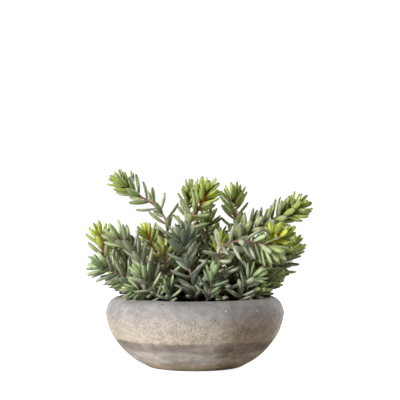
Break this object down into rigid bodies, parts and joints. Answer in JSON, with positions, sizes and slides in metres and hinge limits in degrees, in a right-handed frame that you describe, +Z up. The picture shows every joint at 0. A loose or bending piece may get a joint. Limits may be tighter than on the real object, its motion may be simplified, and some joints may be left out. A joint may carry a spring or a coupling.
{
  "type": "potted sedum",
  "caption": "Leafy stonecrop shoots growing from potting soil in a shallow, incurved round cement bowl with a flat base.",
  "frame": {"origin": "centre of the bowl's flat underside", "axes": "+Z up along the bowl's axis, -Y towards the viewer in front of the plant, +X to that viewer's right"},
  "size_m": [0.2267, 0.1796, 0.1983],
  "materials": {
    "cement": "matte",
    "soil": "matte",
    "leaf": "satin",
    "stem": "matte"
  },
  "bodies": {
    "root": {"bowl": "cement", "soil": "soil", "shoot_tall_left": "leaf", "shoot_crown_bright": "leaf", "shoot_crown_dark": "leaf", "shoot_crown_side": "leaf", "shoot_upright_mid": "leaf", "shoot_reach_right": "leaf", "shoot_face_right": "leaf", "shoot_dark_right": "leaf", "shoot_low_right_back": "leaf", "shoot_arch_right": "leaf", "shoot_bright_mid": "leaf", "shoot_dark_centre": "leaf", "shoot_purple_left": "leaf", "shoot_mid_left_back": "leaf", "shoot_yellow_left": "leaf", "shoot_yellow_small": "leaf", "shoot_low_left": "leaf", "shoot_rim_left": "leaf", "shoot_brown_mid_left": "leaf", "shoot_front_left": "leaf", "shoot_front_mid": "leaf", "shoot_front_mid_left": "leaf", "shoot_front_right": "leaf", "shoot_rim_right": "leaf", "shoot_back_left": "leaf", "shoot_back_mid_left": "leaf", "shoot_back_mid": "leaf", "shoot_back_right": "leaf", "shoot_back_far_right": "leaf", "shoot_back_crown": "leaf", "shoot_back_tall_left": "leaf", "shoot_back_low_left": "leaf", "shoot_back_rim_left": "leaf", "shoot_back_rim_mid": "leaf", "shoot_back_rim_right": "leaf", "shoot_back_low_right": "leaf"}
  },
  "joints": []
}
